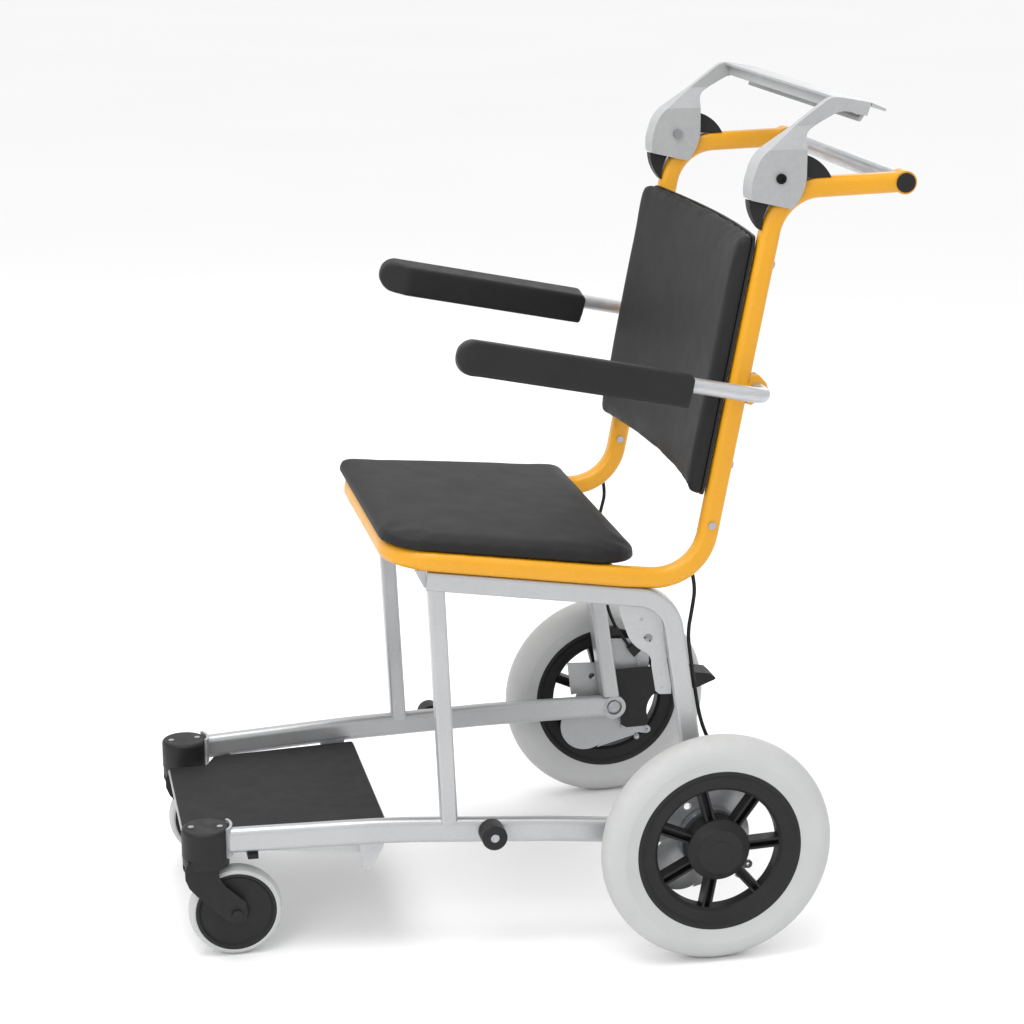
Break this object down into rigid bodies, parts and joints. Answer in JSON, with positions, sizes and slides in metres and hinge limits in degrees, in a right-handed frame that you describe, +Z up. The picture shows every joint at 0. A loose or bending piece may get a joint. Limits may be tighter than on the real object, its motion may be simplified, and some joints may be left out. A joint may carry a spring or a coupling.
{
  "type": "stair chair",
  "caption": "Wheeled patient transfer chair with a bent tube frame, padded seat, back and arms, large braked rear wheels, front castors, flip-up footplate and dead-man brake bar.",
  "frame": {"origin": "on the floor under the centre of the overall bounding box", "axes": "+Z up, the sitter faces -Y, +X is the sitter's left"},
  "size_m": [0.672, 0.954, 1.1288],
  "materials": {
    "frame_yellow": "gloss powder coat",
    "frame_grey": "satin powder coat",
    "satin_steel": "satin",
    "bar_grey": "satin, painted light grey",
    "black_plastic": "fine grain",
    "upholstery": "wipe-clean vinyl, fine grain",
    "arm_pad": "integral-skin foam",
    "grey_tyre": "non-marking light grey",
    "zinc_steel": "zinc plated",
    "brake_plate_grey": "satin",
    "tray_grey": "satin",
    "black_rubber": "fine ribs"
  },
  "bodies": {
    "frame": {"lower_rail_left": "frame_grey", "lower_rail_right": "frame_grey", "side_frame_left": "frame_grey", "side_frame_right": "frame_grey", "front_posts": "frame_grey", "axle_bosses": "frame_grey", "side_plates": "frame_grey", "seat_frame": "frame_yellow", "back_upright_left": "frame_yellow", "back_upright_right": "frame_yellow", "push_bar": "satin_steel", "push_bar_plugs": "black_plastic", "seat_cross_tube": "frame_grey", "seat_board": "black_plastic", "seat_cushion": "upholstery", "back_board": "black_plastic", "back_cushion": "upholstery", "brake_housings": "black_plastic", "castor_housings": "black_plastic", "rail_collars": "frame_grey", "bumpers": "black_plastic", "frame_screws": "zinc_steel", "brake_bar_pins": "zinc_steel", "brake_plates": "brake_plate_grey", "brake_cables": "black_rubber", "cable_stops": "black_plastic", "axle_bolts": "zinc_steel", "footplate_stops": "black_rubber", "footplate_brackets": "frame_grey", "footplate_pins": "zinc_steel"},
    "rear_wheel_left": {"rear_tyre_left": "grey_tyre", "rear_wheel_left": "black_plastic", "hub_cap_left": "black_plastic", "hub_bearings_left": "zinc_steel", "brake_drum_left": "zinc_steel"},
    "castor_swivel_left": {"castor_fork_left": "black_plastic", "castor_axle_left": "zinc_steel"},
    "castor_wheel_left": {"castor_wheel_left": "black_plastic", "castor_tyre_left": "grey_tyre"},
    "armrest_left": {"armrest_tube_left": "satin_steel", "armrest_pad_left": "arm_pad"},
    "brake_lever_left": {"brake_lever_left": "zinc_steel"},
    "rear_wheel_right": {"rear_tyre_right": "grey_tyre", "rear_wheel_right": "black_plastic", "hub_cap_right": "black_plastic", "hub_bearings_right": "zinc_steel", "brake_drum_right": "zinc_steel"},
    "castor_swivel_right": {"castor_fork_right": "black_plastic", "castor_axle_right": "zinc_steel"},
    "castor_wheel_right": {"castor_wheel_right": "black_plastic", "castor_tyre_right": "grey_tyre"},
    "armrest_right": {"armrest_tube_right": "satin_steel", "armrest_pad_right": "arm_pad"},
    "brake_lever_right": {"brake_lever_right": "zinc_steel"},
    "brake_handle": {"brake_arm_left": "bar_grey", "brake_arm_right": "bar_grey", "brake_bar": "bar_grey"},
    "footplate": {"footplate": "tray_grey", "footplate_mat": "black_rubber"},
    "foot_pedal": {"foot_pedal": "black_plastic"}
  },
  "joints": [
    {"name": "rear_wheel_left_spin", "type": "hinge", "parent": "frame", "child": "rear_wheel_left", "pos_m": [0.3125, 0.215, 0.156], "axis": [1, 0, 0], "continuous": true},
    {"name": "castor_left_swivel", "type": "hinge", "parent": "frame", "child": "castor_swivel_left", "pos_m": [0.171, -0.445, 0.15], "axis": [0, 0, 1], "continuous": true},
    {"name": "castor_left_spin", "type": "hinge", "parent": "castor_swivel_left", "child": "castor_wheel_left", "pos_m": [0.171, -0.4085, 0.0625], "axis": [1, 0, 0], "continuous": true},
    {"name": "armrest_left_lift", "type": "hinge", "parent": "frame", "child": "armrest_left", "pos_m": [0.2455, 0.272, 0.7578], "axis": [-1, 0, 0], "range_deg": [0, 95]},
    {"name": "brake_lever_left_turn", "type": "hinge", "parent": "frame", "child": "brake_lever_left", "pos_m": [0.27, 0.239, 0.117], "axis": [1, 0, 0], "range_deg": [0, 12]},
    {"name": "rear_wheel_right_spin", "type": "hinge", "parent": "frame", "child": "rear_wheel_right", "pos_m": [-0.3125, 0.215, 0.156], "axis": [1, 0, 0], "continuous": true},
    {"name": "castor_right_swivel", "type": "hinge", "parent": "frame", "child": "castor_swivel_right", "pos_m": [-0.171, -0.445, 0.15], "axis": [0, 0, 1], "continuous": true},
    {"name": "castor_right_spin", "type": "hinge", "parent": "castor_swivel_right", "child": "castor_wheel_right", "pos_m": [-0.171, -0.4085, 0.0625], "axis": [1, 0, 0], "continuous": true},
    {"name": "armrest_right_lift", "type": "hinge", "parent": "frame", "child": "armrest_right", "pos_m": [-0.2455, 0.272, 0.7578], "axis": [-1, 0, 0], "range_deg": [0, 95]},
    {"name": "brake_lever_right_turn", "type": "hinge", "parent": "frame", "child": "brake_lever_right", "pos_m": [-0.27, 0.239, 0.117], "axis": [1, 0, 0], "range_deg": [0, 12]},
    {"name": "brake_handle_squeeze", "type": "hinge", "parent": "frame", "child": "brake_handle", "pos_m": [0, 0.294, 1.0298], "axis": [-1, 0, 0], "range_deg": [0, 18], "stiffness_Nm_per_rad": 8, "springref_deg": -17.19},
    {"name": "footplate_flip", "type": "hinge", "parent": "frame", "child": "footplate", "pos_m": [0, -0.225, 0.141], "axis": [-1, 0, 0], "range_deg": [0, 85]},
    {"name": "foot_pedal_press", "type": "hinge", "parent": "frame", "child": "foot_pedal", "pos_m": [-0.261, 0.215, 0.156], "axis": [-1, 0, 0], "range_deg": [0, 12]}
  ],
  "couplings": [
    {"joint": "brake_lever_left_turn", "follows": "brake_handle_squeeze", "ratio": 0.6},
    {"joint": "brake_lever_right_turn", "follows": "brake_handle_squeeze", "ratio": 0.6}
  ]
}
